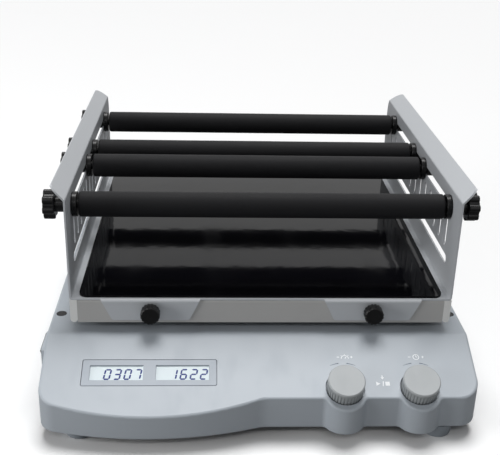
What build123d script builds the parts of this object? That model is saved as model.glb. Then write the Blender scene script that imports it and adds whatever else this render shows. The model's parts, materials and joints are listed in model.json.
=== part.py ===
from build123d import *
import math
import os

# Bench orbital shaker: a low base with a sloped control panel, an orbiting
# platform, and a tray attachment that clamps vessels between four padded bars.
# Millimetres. X runs to the right, Y to the back, Z up. The origin is on the
# bench, under the middle of the base. The platform stands at one point of its
# orbit, forward and a little to the right.

# Running fits and seats
run_gap = 0.05            # radial gap of a shaft that turns in its bearing
open_pivot_gap = 0.1      # radial gap at the pivots that close the linkage
seat_gap = 0.02           # radial gap of a piece pressed into its seat
near_gap = 0.3            # gap between moving pieces that pass each other

# Orbit
orbit_radius = 5.0
orbit_phase = -63.25      # degrees from +X, where the crank pin stands at rest
orbit_height = 8.0        # from the plateau up to the platform's lower edge

# Platform
platform_width = 330.0
platform_depth = 330.0
platform_thickness = 21.5
platform_skin = 2.5
skirt_wall = 3.0
rib_spread = 70.0
rib_drop = 12.0
rail_width = 6.2
rail_round = 3.0

# Base housing
side_margin = 18.0        # housing beyond the platform, each side
ridge_margin = 5.1        # plateau in front of the platform's nearest point
rear_margin = 3.0         # housing behind the platform's rearmost place
panel_run = 59.1          # from the ridge forward to the straight front wall
bulge_depth = 15.8        # how far the display bulge stands out in front
bulge_radius = 285.0
bulge_overrun = 3.3       # how far the bulge's arc would run past the left side
foot_height = 11.5
shell_height = 55.5
shell_wall = 3.0
panel_slope = 24.2        # degrees
ridge_round = 9.0
rim_round = 2.2
lower_round = 1.5
front_corner_round = 18.0
rear_corner_round = 20.0
bulge_blend_round = 25.0
boss_blend_round = 4.5

# Control panel, with places measured down the slope from the ridge
knob_middle_share = 0.551 # middle of the two knobs, as a share of half the base's width
knob_spacing = 62.4
knob_down = 55.1
knob_radius = 15.5
knob_top_chamfer = 0.9
knob_rise = 12.0
knob_sunk = 2.0
knob_ridges = 36
knob_ridge_depth = 0.75
knob_push = 0.8
knob_well_gap = 1.0       # ring of space around a knob in its well
knob_well_depth = 3.2
well_floor = 2.3
well_wall = 2.5
knob_cap = 3.0            # smooth top part of a knob, above its ridges
boss_radius = 18.0
boss_setback = 7.0        # from the straight front wall back to a boss's centre
bezel_width = 111.5
bezel_height = 24.9
bezel_share = 0.508       # middle of the bezel, as a share of half the base's width
bezel_down = 39.6
bezel_corner = 1.2
bezel_groove = 0.6
bezel_lip = 3.0
bezel_lip_thickness = 1.5
window_width = 44.4
window_height = 14.6
window_spacing = 54.9
display_sunk = 1.2
display_fit = 0.15
display_back = 3.5
display_back_margin = 2.5

# Control board, behind the panel
board_depth = 14.0        # from the panel's outer face down to the board
board_thickness = 1.6
board_left_share = 0.82   # ends of the board, as shares of half the base's width
board_right_share = 0.863
board_upper_down = 14.0
board_lower_down = 62.0
board_post_radius = 3.0
board_post_inset = 4.0
encoder_square = 13.0
encoder_height = 5.5
bushing_radius = 4.5
bushing_fit = 0.3
encoder_shaft_radius = 3.0
encoder_flat = 0.8
shaft_in_knob = 8.5
shaft_depth = 12.0        # from the panel's outer face down to the shaft's end
header_length = 30.0
header_width = 6.0
chip_size = 14.0
chip_height = 2.0
chip_x = 20.0

# Pan and feet
pan_lift = 0.5
pan_thickness = 3.0
pan_fit = 0.4
foot_radius = 13.0
foot_taper = 1.0
foot_neck = 9.0           # radius of the upper part, inside the housing
foot_clear = 0.5          # from the foot's shoulder up to the housing's edge
foot_side_inset = 32.0
foot_end_inset = 13.0
foot_screw_bore = 6.0
foot_screw_seat = 6.5

# Housing screws under round plugs
plug_side_inset = 7.5
plug_front_back = 35.1    # from the ridge back to the front pair
plug_rear_inset = 40.0
plug_radius = 4.55
plug_fit = 0.1
plug_thickness = 2.0
plug_proud = 0.3
screw_radius = 2.0
screw_head_radius = 3.6
screw_head_height = 2.5
screw_cross = 4.4
screw_cross_width = 1.0
screw_length = 14.0
screw_boss_radius = 6.0
screw_boss_drop = 8.0
post_radius = 4.0

# Spindle, with two ball bearings in a flanged housing on the pan
spindle_radius = 7.5
spindle_bearing_radius = 17.5
spindle_bearing_width = 11.0
spindle_housing_radius = 23.0
spindle_flange_radius = 42.0
spindle_flange_thickness = 5.0
bearing_shoulder = 3.0
bearing_ring = 2.2        # thickness of a bearing's rings, with the shield between
shield_sink = 0.5
spindle_end_gap = 0.5
flange_bolts = 4
crank_disc_radius = 18.0
crank_disc_thickness = 7.0
crank_disc_proud = 2.5
crank_pin_radius = 6.0
crank_pin_chamfer = 0.5
crank_pin_clear = 3.5      # from the pin's top up to the platform's skin

# Belt drive
pulley_radius = 60.0
pulley_width = 11.0
pulley_flange = 1.5
pulley_flange_rise = 2.5
pulley_hub_radius = 15.0
pulley_web = 4.0
pulley_rim = 6.0
pulley_gap = 2.0
counterweight_radius = 55.0
counterweight_inner = 20.0
counterweight_thickness = 5.0
counterweight_sweep = 150.0
motor_pulley_radius = 15.0
motor_distance = 108.0
motor_radius = 32.0
motor_height = 26.0
motor_boss_radius = 12.0
motor_boss = 2.0
motor_shaft_seat = 8.0    # how deep the shaft stands in the motor
motor_flange = 74.0
motor_flange_thickness = 4.0
motor_shaft_radius = 4.0
belt_thickness = 1.6
belt_side_gap = 0.5

# Platform hub, with two ball bearings on the crank pin
hub_bearing_radius = 14.0
hub_bearing_width = 8.0
hub_radius = 20.0
hub_flange_radius = 35.0
hub_flange_thickness = 4.0
hub_lift = 5.0            # from the plateau up to the hub's lower face
hub_pin_gap = 1.0

# Idler cranks that keep the platform square
idler_spread_x = 118.0
idler_spread_y = 105.0
idler_pin_radius = 5.0
idler_pin_length = 40.0   # below its disc
idler_post_radius = 12.0
idler_flange_radius = 18.0
idler_flange_thickness = 4.0
idler_disc_radius = 13.0
idler_disc_thickness = 4.5
idler_cup_radius = 10.0
post_hole_gap = 2.5

# Power supply and motor driver
supply_size = (84.0, 140.0, 30.0)
supply_side_inset = 66.0   # from the housing's left side to the supply's middle
supply_strip = 10.0       # depth of the terminal strip and spacing of its terminals
supply_terminal = 7.0
supply_terminals = 7
supply_slots = 9
supply_slot = (50.0, 4.0, 1.0)
driver_size = (80.0, 130.0)
driver_side_inset = 66.0   # from the housing's right side to the board's middle
driver_post_height = 6.0
driver_post_radius = 3.0
sink_fins = 7
sink_fin = 1.5
sink_spacing = 3.8
sink_base = 3.0
sink_length = 80.0
sink_height = 20.0
sink_offset = (18.0, 10.0)
capacitors = 3
capacitor_radius = 6.0
capacitor_height = 22.0
capacitor_spacing = 16.0
capacitor_offset = (-20.0, -24.0)
driver_plug = (40.0, 8.0, 9.0)

# Rear connectors
connector_height = 38.0
inlet_side_inset = 73.0   # from the housing's left side
inlet_flange = (50.0, 28.0)
inlet_flange_thickness = 2.0
inlet_body = (30.0, 22.0, 24.0)
inlet_socket = (24.6, 16.6)
inlet_socket_depth = 18.5
inlet_pin = (2.0, 4.0, 12.5)
inlet_pin_spacing = 7.0
inlet_pin_lift = 2.0      # middle pin up, outer pins down
port_x = 70.0
port_flange = (31.0, 12.6)
port_body = (19.0, 11.0, 14.0)
port_shell = (17.0, 9.0)
port_depth = 10.0
port_rows = (5, 4)
port_pin_pitch = 2.8
port_pin_length = 6.0
port_pin_radius = 0.5
connector_fit = 0.2
vent_count = 9
vent_width = 3.0
vent_height = 22.0
vent_spacing = 8.0
vent_center_x = 0.0

# Mains switch on the left flank
switch_from_ridge = 9.0   # from the ridge back to the switch's middle
switch_drop = 22.0        # from the plateau down to the switch's middle
switch_pad = (36.0, 25.0)
switch_pad_round = 4.0
switch_pad_proud = 4.4
switch_pad_taper = 2.4
switch_mouth = (22.0, 14.5)
switch_wall = 1.5
switch_lip = 0.6
switch_lip_reach = 0.8
switch_body_depth = 14.0
rocker_gap = 0.4
rocker_end_gap = 0.9
rocker_throw = 16.0       # degrees between off and on
rocker_axis = 1.2         # from the flank out to the pivot
rocker_face = 4.2         # from the pivot out to the paddle's ends
rocker_dish = 0.5
rocker_back = 2.5         # from the pivot in to the paddle's back
rocker_back_half = 4.4
rocker_pin_radius = 1.2
rocker_pin_reach = 1.0

# Tray attachment, folded from sheet
sheet = 1.5
tray_wall_height = 89.0
flange_out = 10.8
flange_up = 13.0
bend_radius = 2.25        # at the middle of the sheet
flange_front_corner = 8.0
flange_rear_corner = 30.0
slot_width = 8.4
slot_end_margin = 28.0
lower_slot_height = 24.4
bar_height = 73.0
vent_slot_width = 7.0
vent_slot_pitch = 21.0
vent_slot_count = 13
vent_slot_low = 34.5
vent_slot_high = 62.5
tab_offset = 96.0
tab_top_width = 85.5
tab_bottom_width = 66.0
tab_drop = 20.0
tab_gap = 0.3
tab_round = 3.0
tab_root = 6.0            # strip of a tab that lies on the platform
mat_margin_x = 7.5
mat_margin_y = 1.8
mat_thickness = 2.0
mat_corner = 8.0

# Thumb screws through the tabs
thumb_drop = 11.0
thumb_radius = 8.3
thumb_head = 8.0
thumb_collar_radius = 5.5
thumb_collar = 2.0
thumb_scallops = 16
thumb_scallop_radius = 1.0
thumb_chamfer = 0.8
thumb_shank_radius = 2.4
thumb_shank_length = 9.0

# Clamp bars and star knobs
bar_1_place = 34.4        # from the tray's front edge
bar_2_place = 133.8
bar_3_place = 179.0
bar_4_place = 279.3
bar_pad_radius = 11.0
bar_disc_width = 4.7
bar_pad_chamfer = 1.6
bar_rod_radius = 3.9
bar_disc_radius = 10.8
bar_disc_gap = 1.5
bar_disc_round = 0.8
rod_reach = 18.0          # rod end beyond the tray wall
knob_neck_radius = 7.0
knob_neck_length = 12.0
star_radius = 13.0
star_grip = 10.0
star_lobes = 7
star_lobe_radius = 3.6
star_core_radius = 10.6
star_round = 1.2

# Heights
pan_bottom = foot_height + pan_lift
pan_top = pan_bottom + pan_thickness
plateau = foot_height + shell_height
ceiling = plateau - shell_wall
platform_bottom = plateau + orbit_height
platform_top = platform_bottom + platform_thickness
skin_under = platform_top - platform_skin
tray_top = platform_top + sheet
fold_height = tray_top + tray_wall_height
bar_z = tray_top + bar_height
thumb_z = tray_top - thumb_drop

counterweight_top = ceiling - pulley_gap
pulley_top = counterweight_top - counterweight_thickness
pulley_bottom = pulley_top - pulley_width
housing_top = pulley_bottom - pulley_gap
disc_top = plateau + crank_disc_proud
disc_bottom = disc_top - crank_disc_thickness
hub_bottom = plateau + hub_lift
hub_flange_bottom = skin_under - hub_flange_thickness
crank_pin_top = skin_under - crank_pin_clear
idler_disc_low = plateau + near_gap
idler_low = idler_disc_low - idler_pin_length
idler_high = hub_flange_bottom
post_top = ceiling - screw_boss_drop
screw_seat = plateau + plug_proud - plug_thickness - plug_fit - screw_head_height
motor_top = pan_top + motor_height + motor_boss
motor_shaft_low = motor_top - motor_shaft_seat

# Places in plan
base_width = platform_width + 2 * side_margin
base_depth = (bulge_depth + panel_run + ridge_margin + 2 * orbit_radius
              + platform_depth + rear_margin)
front_tip = -base_depth / 2
front_wall = front_tip + bulge_depth
ridge = front_wall + panel_run
rear_wall = base_depth / 2
spindle_y = ridge + ridge_margin + orbit_radius + platform_depth / 2
orbit_x = orbit_radius * math.cos(math.radians(orbit_phase))
orbit_y = orbit_radius * math.sin(math.radians(orbit_phase))
platform_x = orbit_x
platform_y = spindle_y + orbit_y
tray_front = platform_y - platform_depth / 2
tray_wall_inner = platform_width / 2 - sheet
bar_pad_half = tray_wall_inner - near_gap - bar_disc_width - bar_disc_gap
bulge_run = math.sqrt(bulge_radius ** 2 - (bulge_radius - bulge_depth) ** 2)
bulge_center_x = bulge_run - bulge_overrun - base_width / 2
knob_first_x = knob_middle_share * base_width / 2 - knob_spacing / 2
knob_places = (knob_first_x, knob_first_x + knob_spacing)
bezel_center_x = -bezel_share * base_width / 2
board_left = -board_left_share * base_width / 2
board_right = board_right_share * base_width / 2
inlet_x = inlet_side_inset - base_width / 2
bar_places = (bar_1_place, bar_2_place, bar_3_place, bar_4_place)
idler_places = [(sx * idler_spread_x, spindle_y + sy * idler_spread_y)
                for sy in (-1, 1) for sx in (-1, 1)]
foot_places = [(sx * (base_width / 2 - foot_side_inset), y)
               for y in (front_wall + foot_end_inset, rear_wall - foot_side_inset)
               for sx in (-1, 1)]
plug_places = [(sx * (base_width / 2 - plug_side_inset), y)
               for y in (ridge + plug_front_back, rear_wall - plug_rear_inset)
               for sx in (-1, 1)]
motor_y = spindle_y + motor_distance
board_post_places = [(x, down)
                     for x in (board_left + board_post_inset, (board_left + board_right) / 2,
                               board_right - board_post_inset)
                     for down in (board_upper_down + board_post_inset,
                                  board_lower_down - board_post_inset)]
connectors = ((inlet_x, inlet_flange, inlet_body), (port_x, port_flange, port_body))
shaft_low = -shaft_depth
shaft_top = shaft_in_knob - knob_sunk

slope = math.radians(panel_slope)
panel = Plane(origin=(0, ridge, plateau), x_dir=(1, 0, 0),
              z_dir=(0, -math.sin(slope), math.cos(slope)))
on_platform = Pos(platform_x, platform_y, 0)

# Left flank at the mains switch: local X runs to the front, Y up, Z outward
flank = Plane(origin=(-base_width / 2, ridge + switch_from_ridge, plateau - switch_drop),
              x_dir=(0, -1, 0), z_dir=(-1, 0, 0))

os.makedirs("parts", exist_ok=True)


def save(name, *solids):
    """Write one named sub-part, made of one or more separate solids."""
    found = []
    for solid in solids:
        found += solid.solids()
    shape = found[0] if len(found) == 1 else Compound(children=found)
    shape.label = name
    export_step(shape, f"parts/{name}.step")


def rod(radius, low, high, x=0.0, y=0.0):
    """Upright cylinder between two heights."""
    return Pos(x, y, (low + high) / 2) * Cylinder(radius, high - low)


def block(size_x, size_y, low, high, x=0.0, y=0.0):
    """Upright box between two heights."""
    return Pos(x, y, (low + high) / 2) * Box(size_x, size_y, high - low)


def ring(outer, inner, low, high, x=0.0, y=0.0):
    """Upright tube between two heights."""
    return rod(outer, low, high, x, y) - rod(inner, low - 1, high + 1, x, y)


def on_panel(x, down, depth=0.0):
    """Place on the panel, measured down the slope, and down into the panel."""
    return panel.location * Pos(x, -down, -depth)


def panel_rod(radius, x, down, low, high):
    """Cylinder square to the panel, between two heights above its face."""
    return on_panel(x, down, -(low + high) / 2) * Cylinder(radius, high - low)


def panel_block(size_x, size_down, x, down, low, high):
    """Box square to the panel, between two heights above its face."""
    return on_panel(x, down, -(low + high) / 2) * Box(size_x, size_down, high - low)


def ball_bearing(outer, inner, width, low, x=0.0, y=0.0):
    """Sealed ball bearing: two rings with a sunk shield between them."""
    groove = ring(outer - bearing_ring, inner + bearing_ring, low - 1, low + shield_sink, x, y)
    upper = Pos(0, 0, width + 1 - shield_sink) * groove
    return ring(outer, inner, low, low + width, x, y) - groove - upper


def corners(sketch, x, y, reach=1.0):
    """Corners of a flat outline that lie near a point."""
    return [v for v in sketch.vertices() if abs(v.X - x) < reach and abs(v.Y - y) < reach]


def housing_outline():
    """Plan of the housing: a slab, the display bulge and the two knob bosses."""
    half = base_width / 2
    slab = Pos(0, (front_wall + rear_wall) / 2) * Rectangle(base_width, rear_wall - front_wall)
    bulge = Pos(bulge_center_x, front_tip + bulge_radius) * Circle(bulge_radius)
    front_strip = Pos(0, front_wall - bulge_depth / 2) * Rectangle(base_width, 3 * bulge_depth)
    shape = slab + (bulge & front_strip)
    for x in knob_places:
        shape += Pos(x, front_wall + boss_setback) * Circle(boss_radius)

    reach = math.sqrt(boss_radius ** 2 - boss_setback ** 2)
    for x in knob_places:
        for sx in (-1, 1):
            shape = fillet(corners(shape, x + sx * reach, front_wall), boss_blend_round)
    shape = fillet(corners(shape, bulge_center_x + bulge_run, front_wall), bulge_blend_round)
    shape = fillet(corners(shape, -half, front_wall, bulge_depth), front_corner_round)
    shape = fillet(corners(shape, half, front_wall), front_corner_round)
    for sx in (-1, 1):
        shape = fillet(corners(shape, sx * half, rear_wall), rear_corner_round)
    return shape


def above_panel(depth):
    """Everything in front of the ridge that lies above the panel less a depth."""
    reach = 2 * base_depth
    overlap = shell_wall
    return panel.location * Pos(0, overlap - reach / 2, reach / 2 - depth) * Box(reach, reach, reach)


def housing_shell():
    """Moulded cover, open below, with the sloped panel, wells, posts and cut-outs."""
    shell = extrude(Pos(0, 0, foot_height) * outline, shell_height) - above_panel(0)
    crest = [e for e in shell.edges()
             if abs(e.center().Y - ridge) < 0.1 and abs(e.center().Z - plateau) < 0.1]
    shell = fillet(crest, ridge_round)
    rim = [e for e in shell.edges()
           if e.bounding_box().min.Z > foot_height + 1
           and not (e.bounding_box().size.X > base_width / 2 and abs(e.center().Y - ridge) < ridge_round)]
    shell = fillet(rim, rim_round)
    lower = [e for e in shell.edges() if e.bounding_box().max.Z < foot_height + 0.01]
    shell = fillet(lower, lower_round)
    body = shell

    hollow = extrude(Pos(0, 0, foot_height - 1) * inner_outline, shell_height - shell_wall + 1)
    shell = shell - (hollow - above_panel(shell_wall))

    well_depth = knob_well_depth + well_floor
    well_outer = knob_radius + knob_well_gap + well_wall
    inside = []
    for x in knob_places:
        inside.append(panel_rod(well_outer, x, knob_down, -well_depth, 0))
    for x, down in board_post_places:
        inside.append(panel_rod(board_post_radius, x, down, -board_depth, -shell_wall / 2))
    for x, y in plug_places:
        inside.append(rod(screw_boss_radius, post_top, plateau - 1, x, y))
    for x, (width, height), _ in connectors:
        inside.append(Pos(x, rear_wall - shell_wall, connector_height)
                      * Box(width + 2 * shell_wall, 2 * shell_wall, height + 2 * shell_wall))
    for piece in inside:
        shell += piece & body
    shell += switch_surround()

    cuts = []
    for x in knob_places:
        cuts.append(panel_rod(knob_radius + knob_well_gap, x, knob_down, -knob_well_depth, knob_rise))
        cuts.append(panel_rod(bushing_radius + bushing_fit, x, knob_down, -board_depth, 0))
    groove = bezel_groove
    cuts.append(on_panel(bezel_center_x, bezel_down, board_depth / 2) * extrude(
        RectangleRounded(bezel_width + 2 * groove, bezel_height + 2 * groove, bezel_corner + groove),
        board_depth))
    for x, y in plug_places:
        cuts.append(rod(plug_radius + plug_fit, screw_seat, plateau + 1, x, y))
        cuts.append(rod(screw_radius + plug_fit, post_top - 1, plateau, x, y))
    cuts.append(rod(crank_disc_radius + orbit_radius, ceiling - 1, plateau + 1, 0, spindle_y))
    for x, y in idler_places:
        cuts.append(rod(idler_post_radius + post_hole_gap, ceiling - 1, plateau + 1, x, y))
    cuts.append(switch_cut())
    for x, (width, height), _ in connectors:
        cuts.append(Pos(x, rear_wall, connector_height) * Box(
            width + 2 * connector_fit, 2 * inlet_flange_thickness, height + 2 * connector_fit))
    for x, _, (width, height, depth) in connectors:
        cuts.append(Pos(x, rear_wall, connector_height) * Box(
            width + 2 * connector_fit, depth, height + 2 * connector_fit))
    for number in range(vent_count):
        x = vent_center_x + (number - (vent_count - 1) / 2) * vent_spacing
        cuts.append(Pos(x, rear_wall, connector_height) * Box(vent_width, 4 * shell_wall, vent_height))
    for cut in cuts:
        shell -= cut
    return shell


def switch_surround():
    """Tapered pad on the left flank that frames the mains switch."""
    angle = math.degrees(math.atan(switch_pad_taper / switch_pad_proud))
    pad = extrude(RectangleRounded(*switch_pad, switch_pad_round), switch_pad_proud, taper=angle)
    return flank.location * pad


def switch_cut():
    """Opening through the pad and the flank for the switch's body."""
    width = switch_mouth[0] + 2 * switch_wall + 2 * connector_fit
    height = switch_mouth[1] + 2 * switch_wall + 2 * connector_fit
    return flank.location * Pos(0, 0, switch_pad_proud / 2) * Box(
        width, height, 2 * (switch_pad_proud + shell_wall))


def rocker_frame():
    """Switch body with a thin lip on the pad and a mouth for the rocker."""
    width = switch_mouth[0] + 2 * switch_wall
    height = switch_mouth[1] + 2 * switch_wall
    depth = switch_pad_proud + switch_body_depth
    body = Pos(0, 0, switch_pad_proud - depth / 2) * Box(width, height, depth)
    lip = Pos(0, 0, switch_pad_proud + switch_lip / 2) * Box(
        width + 2 * switch_lip_reach, height + 2 * switch_lip_reach, switch_lip)
    mouth = Pos(0, 0, switch_pad_proud - depth / 2 + switch_wall) * Box(*switch_mouth, depth)
    pins = Pos(0, 0, rocker_axis) * Rot(0, 90, 0) * Cylinder(rocker_pin_radius + run_gap, width + 1)
    return flank.location * (body + lip - mouth - pins)


def power_rocker():
    """Rocker paddle on its cross pin, with its lower half pressed in."""
    reach = switch_mouth[1] / 2 - rocker_end_gap
    width = switch_mouth[0] - 2 * rocker_gap
    side = Polygon((-rocker_back_half, -rocker_back), (rocker_back_half, -rocker_back), (reach, rocker_face),
                   (0, rocker_face - rocker_dish), (-reach, rocker_face), align=None)
    paddle = extrude(Plane.YZ.offset(-width / 2) * side, width)
    pin = Rot(0, 90, 0) * Cylinder(rocker_pin_radius, switch_mouth[0] + 2 * rocker_pin_reach)
    return flank.location * Pos(0, 0, rocker_axis) * Rot(rocker_throw / 2, 0, 0) * (paddle + pin)


def base_pan():
    """Flat steel floor of the base, with the posts that take the housing screws."""
    pan = extrude(Pos(0, 0, pan_bottom) * pan_outline, pan_thickness)
    for x, y in plug_places:
        pan += rod(post_radius, pan_bottom, post_top, x, y)
        pan -= rod(screw_radius + seat_gap, post_top - screw_length, post_top + 1, x, y)
    for x, y in foot_places:
        pan -= rod(screw_radius + seat_gap, pan_bottom - 1, pan_top + 1, x, y)
    return pan


def rubber_feet():
    """Tapered feet with a narrower neck up to the pan and a sunk bore for their screws."""
    shoulder = foot_height - foot_clear
    feet = []
    for x, y in foot_places:
        foot = Pos(x, y, 0) * Cone(foot_radius - foot_taper, foot_radius, shoulder,
                                   align=(Align.CENTER, Align.CENTER, Align.MIN))
        edge = [e for e in foot.edges() if e.bounding_box().max.Z < 0.01]
        foot = fillet(edge, foot_taper) + rod(foot_neck, shoulder - foot_clear, pan_bottom, x, y)
        foot -= rod(foot_screw_bore, -1, foot_screw_seat, x, y)
        foot -= rod(screw_radius + seat_gap, 0, pan_bottom + 1, x, y)
        feet.append(foot)
    return feet


def case_screw(head_top, x, y, up=False):
    """Cross-head screw: head top at a height, shank down, or up from below."""
    head = rod(screw_head_radius, -screw_head_height, 0)
    shank = rod(screw_radius, -screw_head_height - screw_length, -screw_head_height)
    cross = (Box(screw_cross, screw_cross_width, 2 * screw_cross_width)
             + Box(screw_cross_width, screw_cross, 2 * screw_cross_width))
    return Pos(x, y, head_top) * Rot(180 if up else 0, 0, 0) * (head + shank - cross)


def case_screws():
    """Four screws under the plugs and four that hold the feet."""
    screws = [case_screw(screw_seat + screw_head_height, x, y) for x, y in plug_places]
    return screws + [case_screw(foot_screw_seat - screw_head_height, x, y, up=True)
                     for x, y in foot_places]


def screw_plugs():
    """Black caps over the housing screws."""
    plugs = []
    for x, y in plug_places:
        top = plateau + plug_proud
        plug = rod(plug_radius, top - plug_thickness, top, x, y)
        edge = [e for e in plug.edges() if e.bounding_box().min.Z > top - 0.01]
        plugs.append(fillet(edge, plug_proud))
    return plugs


def display_bezel():
    """Panel insert with two windows and a lip behind the housing wall."""
    plate = extrude(RectangleRounded(bezel_width, bezel_height, bezel_corner), -shell_wall)
    lip = extrude(RectangleRounded(bezel_width + 2 * bezel_lip, bezel_height + 2 * bezel_lip,
                                   bezel_corner + bezel_lip), -bezel_lip_thickness)
    bezel = plate + Pos(0, 0, -shell_wall) * lip
    for side in (-1, 1):
        bezel -= Pos(side * window_spacing / 2, 0, 0) * Box(window_width, window_height, 4 * shell_wall)
    return on_panel(bezel_center_x, bezel_down) * bezel


def display(side):
    """Display module: a glass block in its window on a wider back."""
    seat = shell_wall + bezel_lip_thickness
    glass = panel_block(window_width - 2 * display_fit, window_height - 2 * display_fit,
                        bezel_center_x + side * window_spacing / 2, bezel_down, -seat, -display_sunk)
    back = panel_block(window_width + 2 * display_back_margin, window_height + 2 * display_back_margin,
                       bezel_center_x + side * window_spacing / 2, bezel_down,
                       -seat - display_back, -seat)
    return glass + back


def control_board():
    """Circuit board behind the panel, with display plugs and a processor."""
    middle_x = (board_left + board_right) / 2
    middle_down = (board_upper_down + board_lower_down) / 2
    board = panel_block(board_right - board_left, board_lower_down - board_upper_down,
                        middle_x, middle_down, -board_depth - board_thickness, -board_depth)
    top = -board_depth
    display_low = -(shell_wall + bezel_lip_thickness + display_back)
    for side in (-1, 1):
        x = bezel_center_x + side * window_spacing / 2
        board += panel_block(header_length, header_width, x, bezel_down, top, display_low - near_gap)
    board += panel_block(chip_size, chip_size, chip_x, middle_down, top, top + chip_height)
    return board


def encoder_bodies():
    """Rotary encoders on the board, each with a bushing up through the panel."""
    bodies = []
    for x in knob_places:
        low = -board_depth
        can = panel_block(encoder_square, encoder_square, x, knob_down, low, low + encoder_height)
        bushing = panel_rod(bushing_radius, x, knob_down, low, -knob_well_depth - bushing_fit)
        bore = panel_rod(encoder_shaft_radius + run_gap, x, knob_down, shaft_low - near_gap, 0)
        bodies.append(can + bushing - bore)
    return bodies


def flatted_shaft(radius, flat, x, low, high):
    """Shaft square to the panel with one flat along it."""
    shaft = panel_rod(radius, x, knob_down, low, high)
    size = 2 * radius
    cutter = panel_block(size, size, x, knob_down + size / 2 + flat, low - 1, high + 1)
    return shaft - cutter


def encoder_shaft(x):
    """Encoder shaft: round in the bushing, with a flat where the knob sits and slides."""
    flat = encoder_shaft_radius - encoder_flat
    flat_low = -knob_sunk - knob_push - near_gap
    lower = panel_rod(encoder_shaft_radius, x, knob_down, shaft_low, flat_low)
    return lower + flatted_shaft(encoder_shaft_radius, flat, x, flat_low, shaft_top)


def control_knob(x):
    """Knob with a smooth flat top, a ridged side and a flatted bore."""
    ridges = Circle(knob_radius)
    for number in range(knob_ridges):
        turn = Rot(0, 0, 360 * number / knob_ridges)
        ridges -= turn * Pos(knob_radius, 0) * Circle(knob_ridge_depth)
    side = extrude(ridges, knob_sunk + knob_rise - knob_cap)
    cap = Pos(0, 0, knob_sunk + knob_rise - knob_cap) * extrude(Circle(knob_radius), knob_cap)
    top = knob_sunk + knob_rise
    edge = [e for e in cap.edges() if e.bounding_box().min.Z > top - 0.01]
    knob = on_panel(x, knob_down, knob_sunk) * (side + chamfer(edge, knob_top_chamfer))
    bore = flatted_shaft(encoder_shaft_radius + run_gap, encoder_shaft_radius - encoder_flat + run_gap,
                         x, -knob_sunk - 1, shaft_top + knob_push + near_gap)
    return knob - bore


def spindle_housing():
    """Flanged housing on the pan, bored for the two spindle bearings."""
    flange = rod(spindle_flange_radius, pan_top, pan_top + spindle_flange_thickness, 0, spindle_y)
    housing = flange + rod(spindle_housing_radius, pan_top, housing_top, 0, spindle_y)
    shoulder = pan_top + bearing_shoulder
    housing -= rod(spindle_bearing_radius + seat_gap, shoulder, housing_top + 1, 0, spindle_y)
    housing -= rod(spindle_radius + bearing_shoulder, pan_top - 1, shoulder + 1, 0, spindle_y)
    for number in range(flange_bolts):
        turn = math.radians(45 + 360 * number / flange_bolts)
        reach = (spindle_flange_radius + spindle_housing_radius) / 2
        bolt = rod(screw_head_radius, pan_top + spindle_flange_thickness,
                   pan_top + spindle_flange_thickness + screw_head_height,
                   reach * math.cos(turn), spindle_y + reach * math.sin(turn))
        housing += bolt
    return housing


def spindle_bearings():
    """Lower and upper ball bearings of the spindle."""
    lows = (pan_top + bearing_shoulder, housing_top - near_gap - spindle_bearing_width)
    return [ball_bearing(spindle_bearing_radius, spindle_radius, spindle_bearing_width, low, 0, spindle_y)
            for low in lows]


def crank_shaft():
    """Spindle with the crank disc on top and the crank pin off its axis."""
    radius = spindle_radius - run_gap
    shaft = rod(radius, pan_top + spindle_end_gap, disc_bottom, 0, spindle_y)
    shaft += rod(crank_disc_radius, disc_bottom, disc_top, 0, spindle_y)
    shaft += rod(crank_pin_radius - run_gap, disc_top, crank_pin_top, platform_x, platform_y)
    edge = [e for e in shaft.edges() if e.bounding_box().min.Z > crank_pin_top - 0.01]
    return chamfer(edge, crank_pin_chamfer)


def pulley(radius, x, y):
    """Solid belt pulley with a flange at each end."""
    wheel = rod(radius, pulley_bottom, pulley_top, x, y)
    for low in (pulley_bottom, pulley_top - pulley_flange):
        wheel += rod(radius + pulley_flange_rise, low, low + pulley_flange, x, y)
    return wheel


def drive_pulley():
    """Large pulley on the spindle, hollowed from below between hub and rim."""
    wheel = pulley(pulley_radius, 0, spindle_y)
    wheel -= ring(pulley_radius - pulley_rim, pulley_hub_radius, pulley_bottom - 1,
                  pulley_top - pulley_web, 0, spindle_y)
    return wheel - rod(spindle_radius - run_gap + seat_gap, pulley_bottom - 1, pulley_top + 1, 0, spindle_y)


def counterweight():
    """Part ring on the drive pulley, opposite the crank pin."""
    reach = 2 * counterweight_radius
    corner_points = [(0.0, 0.0)]
    for step in range(4):
        turn = math.radians(orbit_phase + 180 + (step / 3 - 0.5) * counterweight_sweep)
        corner_points.append((reach * math.cos(turn), reach * math.sin(turn)))
    shape = (Circle(counterweight_radius) - Circle(counterweight_inner)) & Polygon(*corner_points, align=None)
    return Pos(0, spindle_y, pulley_top) * extrude(shape, counterweight_thickness)


def motor_body():
    """Flat brushless motor on a square foot, bored for its shaft."""
    body = block(motor_flange, motor_flange, pan_top, pan_top + motor_flange_thickness, 0, motor_y)
    body += rod(motor_radius, pan_top, pan_top + motor_height, 0, motor_y)
    body += rod(motor_boss_radius, pan_top, motor_top, 0, motor_y)
    return body - rod(motor_shaft_radius + run_gap, motor_shaft_low - near_gap, motor_top + 1, 0, motor_y)


def motor_pulley():
    """Small belt pulley and the motor's shaft, made as one turned piece."""
    return pulley(motor_pulley_radius, 0, motor_y) + rod(
        motor_shaft_radius, motor_shaft_low, pulley_top, 0, motor_y)


def belt_loop(gap):
    """Outline of a belt that runs a gap outside both pulleys."""
    large = Pos(0, spindle_y) * Circle(pulley_radius + gap)
    small = Pos(0, motor_y) * Circle(motor_pulley_radius + gap)
    return make_hull(large.edges() + small.edges())


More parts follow.
